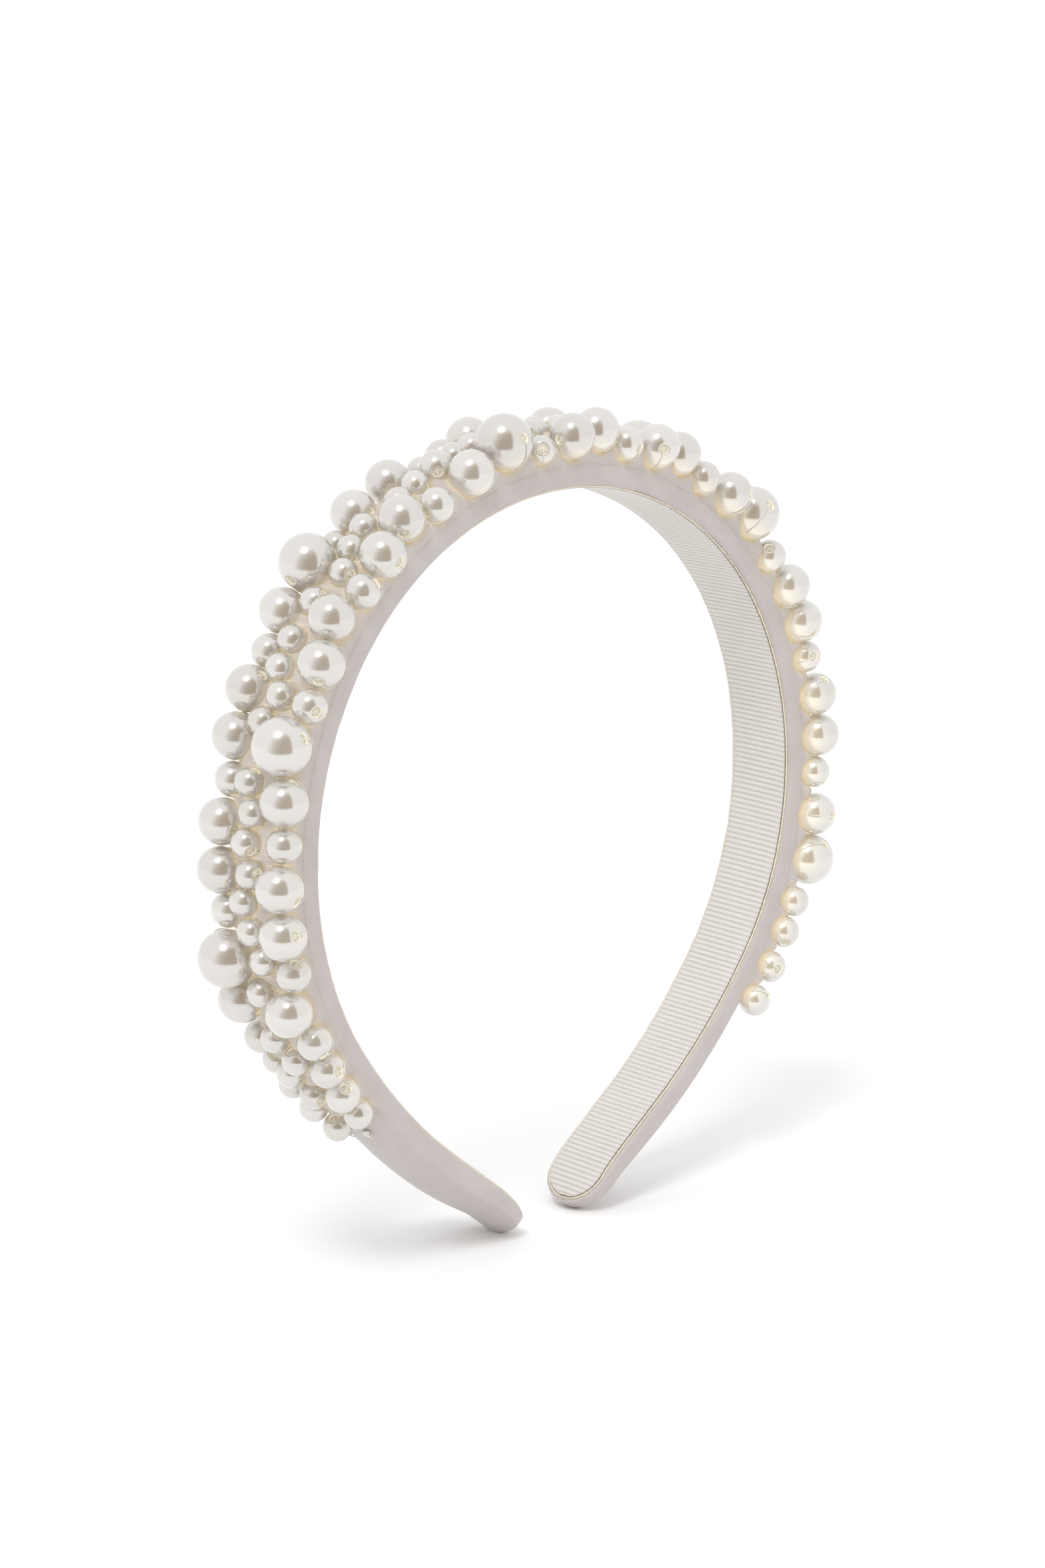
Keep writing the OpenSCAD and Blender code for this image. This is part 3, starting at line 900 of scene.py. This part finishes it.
def make_plain(name, colour, second, scale, grain, depth, **sockets):
    """A plain finish with colour drift and a fine grain."""
    finish = Finish(name, **sockets)
    place_in = finish.object_place()
    drift = finish.group(COLOUR_DRIFT, Coordinate=place_in, Scale=scale, Amount=0.8,
                         Colour=colour, Second_Colour=second)
    finish.feed(drift.outputs["Colour"], "Base Color")
    finish.bump(add_noise(finish.tree, place_in, grain, 4.0), depth * MM, 0.7)
    return finish.material


SATIN = make_satin()
GROSGRAIN = make_grosgrain()
PEARL = make_pearl()
GLUE = make_plain("dried_glue", (0.76, 0.67, 0.50, 1), (0.82, 0.75, 0.61, 1), 260.0, 900.0, 0.03,
                  Roughness=0.35, Coat_Weight=0.3)
FOAM = make_plain("white_foam", (0.86, 0.84, 0.76, 1), (0.92, 0.90, 0.84, 1), 200.0, 2500.0, 0.15,
                  Roughness=0.9)
NYLON = make_plain("clear_nylon", (0.72, 0.70, 0.61, 1), (0.80, 0.78, 0.71, 1), 300.0, 900.0, 0.01,
                   Roughness=0.2, IOR=1.53, Coat_Weight=0.3)
PLASTIC = make_plain("white_plastic", (0.84, 0.83, 0.78, 1), (0.88, 0.87, 0.83, 1), 150.0, 1500.0, 0.02,
                     Roughness=0.4)


def dress(piece, material):
    piece.data.materials.clear()
    piece.data.materials.append(material)


# ---------------------------------------------------------------- camera
def camera_axes(azimuth, elevation):
    """Right, up and back unit vectors of a camera at that azimuth and elevation, in degrees."""
    a, e = math.radians(azimuth), math.radians(elevation)
    back = Vector((math.sin(a) * math.cos(e), -math.cos(a) * math.cos(e), math.sin(e)))
    right = Vector((math.cos(a), math.sin(a), 0))
    return right, back.cross(right), back


VIEW_AZIMUTH, VIEW_ELEVATION = -47.36, 11.86  # degrees, from the middle of the headband
VIEW_DISTANCE = 0.6197
AIM_AZIMUTH, AIM_ELEVATION, ROLL = 0.344, -0.976, 0.954  # how the camera is turned from its target
TARGET_BELOW_TOP = 0.065
LENS = 78.08


def add_camera():
    """A camera that looks at the front of the left arm and the inside of the right one."""
    roll = math.radians(ROLL)
    centre = Vector((0, 0, TOP_Z * MM - TARGET_BELOW_TOP))
    back = camera_axes(VIEW_AZIMUTH, VIEW_ELEVATION)[2]
    right, up, aim = camera_axes(VIEW_AZIMUTH + AIM_AZIMUTH, VIEW_ELEVATION + AIM_ELEVATION)
    rolled_right = right * math.cos(roll) + up * math.sin(roll)
    rolled_up = up * math.cos(roll) - right * math.sin(roll)
    data = bpy.data.cameras.new("camera")
    data.sensor_width = 36
    data.lens = LENS
    data.clip_start = 0.01
    camera = bpy.data.objects.new("camera", data)
    camera.matrix_world = Matrix.Translation(centre + back * VIEW_DISTANCE) @ Matrix(
        (rolled_right, rolled_up, aim)
    ).transposed().to_4x4()
    bpy.context.scene.collection.objects.link(camera)
    bpy.context.scene.camera = camera


add_camera()

# ---------------------------------------------------------------- soft layers and trim
SIDES = (("left", -1), ("right", 1))


def bend_with(piece, side):
    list(bend_ends(side))
    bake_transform(piece)


for side_name, side in SIDES:
    cover = satin_cover(side, f"satin_cover_{side_name}")
    dress(cover, SATIN)
    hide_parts("crown_satin", f"{side_name}_satin")
    bend_with(cover, side)

    ribbon = lining_ribbon(side, f"lining_ribbon_{side_name}")
    dress(ribbon, GROSGRAIN)
    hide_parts("crown_ribbon", f"{side_name}_ribbon")
    bend_with(ribbon, side)

    glue = glue_line(side, f"glue_line_{side_name}")
    dress(glue, GLUE)
    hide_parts("crown_glue_lines", f"{side_name}_glue_lines")
    bend_with(glue, side)

    padding = foam_padding(side, f"foam_padding_{side_name}")
    dress(padding, FOAM)
    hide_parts("crown_padding", f"{side_name}_padding")
    bend_with(padding, side)

# ---------------------------------------------------------------- pearls, thread and core
for zone in ZONES:
    for size in SIZES:
        pearls = pearl_group(zone, size)
        dress(pearls, PEARL)
        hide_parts(f"{zone}_pearls_{size}")
        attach(pearls, BODY_OF[zone])
    thread = sewing_thread(zone)
    dress(thread, NYLON)
    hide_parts(f"{zone}_thread")
    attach(thread, BODY_OF[zone])
    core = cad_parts[f"{zone}_core"]
    core.data.materials.clear()
    core.data.materials.append(PLASTIC)


# ---------------------------------------------------------------- floor and light
ROOM_AZIMUTH = -47  # the side of the room that the dark card stands on
KEY_LIGHT = (-65, 55, 17, 0.85)  # azimuth, elevation and width in degrees, and strength
CARD_DISTANCE = 0.30
CARD_LOW, CARD_HIGH, CARD_LEFT, CARD_RIGHT = 0.012, 0.70, -0.38, 0.19
CARD_DARK = (0.26, 0.165, 0.05, 1)
CARD_FADE = (0.42, 1.0)  # where the card starts and stops fading to white
FLOOR_WHITE = (0.925, 0.925, 0.925, 1)


def add_panel(name, centre, towards, width, height):
    """An upright panel that faces a point."""
    mesh = bpy.data.meshes.new(name)
    w, h = width / 2, height / 2
    mesh.from_pydata([(-w, -h, 0), (w, -h, 0), (w, h, 0), (-w, h, 0)], [], [(0, 1, 2, 3)])
    panel = bpy.data.objects.new(name, mesh)
    bpy.context.scene.collection.objects.link(panel)
    panel.location = centre
    panel.rotation_euler = (Vector(towards) - Vector(centre)).to_track_quat("Z", "Y").to_euler()
    return panel


def glow(name):
    """A material that gives off light of its own."""
    material = bpy.data.materials.new(name)
    material.use_nodes = True
    tree = material.node_tree
    tree.nodes.remove(tree.nodes["Principled BSDF"])
    shader = tree.nodes.new("ShaderNodeEmission")
    tree.links.new(shader.outputs[0], tree.nodes["Material Output"].inputs["Surface"])
    return material


def only_in_reflections(thing):
    thing.visible_camera = False
    thing.visible_diffuse = False
    thing.visible_shadow = False
    thing.visible_transmission = False


def add_floor():
    floor = add_panel("floor", (0, 0, 0), (0, 0, 1), 8, 8)
    material = bpy.data.materials.new("white_floor")
    material.use_nodes = True
    shader = material.node_tree.nodes["Principled BSDF"]
    shader.inputs["Base Color"].default_value = FLOOR_WHITE
    shader.inputs["Roughness"].default_value = 0.9
    shader.inputs["Specular IOR Level"].default_value = 0.1
    floor.data.materials.append(material)


def add_world():
    world = bpy.data.worlds.new("white_room")
    world.use_nodes = True
    background = world.node_tree.nodes["Background"]
    background.inputs["Color"].default_value = (1, 1, 1, 1)
    background.inputs["Strength"].default_value = 1.0
    bpy.context.scene.world = world


def add_sun(name, azimuth, elevation, spread, power):
    """A large soft light far away, so that it lights all of the floor evenly."""
    data = bpy.data.lights.new(name, "SUN")
    data.angle = math.radians(spread)
    data.energy = power
    sun = bpy.data.objects.new(name, data)
    bpy.context.scene.collection.objects.link(sun)
    sun.rotation_euler = camera_axes(azimuth, elevation)[2].to_track_quat("Z", "Y").to_euler()


def add_dark_card():
    """The dark part of the room in front, seen only in the pearls' reflections."""
    right, _, back = camera_axes(ROOM_AZIMUTH, 0)
    middle = Vector((0, 0, (CARD_LOW + CARD_HIGH) / 2))
    centre = back * CARD_DISTANCE + right * ((CARD_LEFT + CARD_RIGHT) / 2) + middle
    card = add_panel("dark_card", centre, centre + back, CARD_RIGHT - CARD_LEFT, CARD_HIGH - CARD_LOW)
    material = glow("dark_room")
    tree = material.node_tree
    split = tree.nodes.new("ShaderNodeSeparateXYZ")
    tree.links.new(tree.nodes.new("ShaderNodeTexCoord").outputs["Generated"], split.inputs[0])
    # 0 at the corner low on the right, growing towards the upper left
    across = add_math(tree, "SUBTRACT", 1.0, split.outputs["X"])
    squares = [add_math(tree, "POWER", value, 2.0) for value in (across, split.outputs["Y"])]
    far = add_math(tree, "SQRT", add_math(tree, "ADD", *squares))
    fade = tree.nodes.new("ShaderNodeMapRange")
    fade.interpolation_type = "SMOOTHSTEP"
    fade.inputs["From Min"].default_value, fade.inputs["From Max"].default_value = CARD_FADE
    tree.links.new(far, fade.inputs["Value"])
    colour = add_mix(tree, fade.outputs["Result"], CARD_DARK, (1, 1, 1, 1))
    tree.links.new(colour, tree.nodes["Emission"].inputs["Color"])
    card.data.materials.append(material)
    only_in_reflections(card)


add_floor()
add_world()
add_sun("key_light", *KEY_LIGHT)
add_dark_card()

bpy.context.scene.view_settings.view_transform = "Standard"
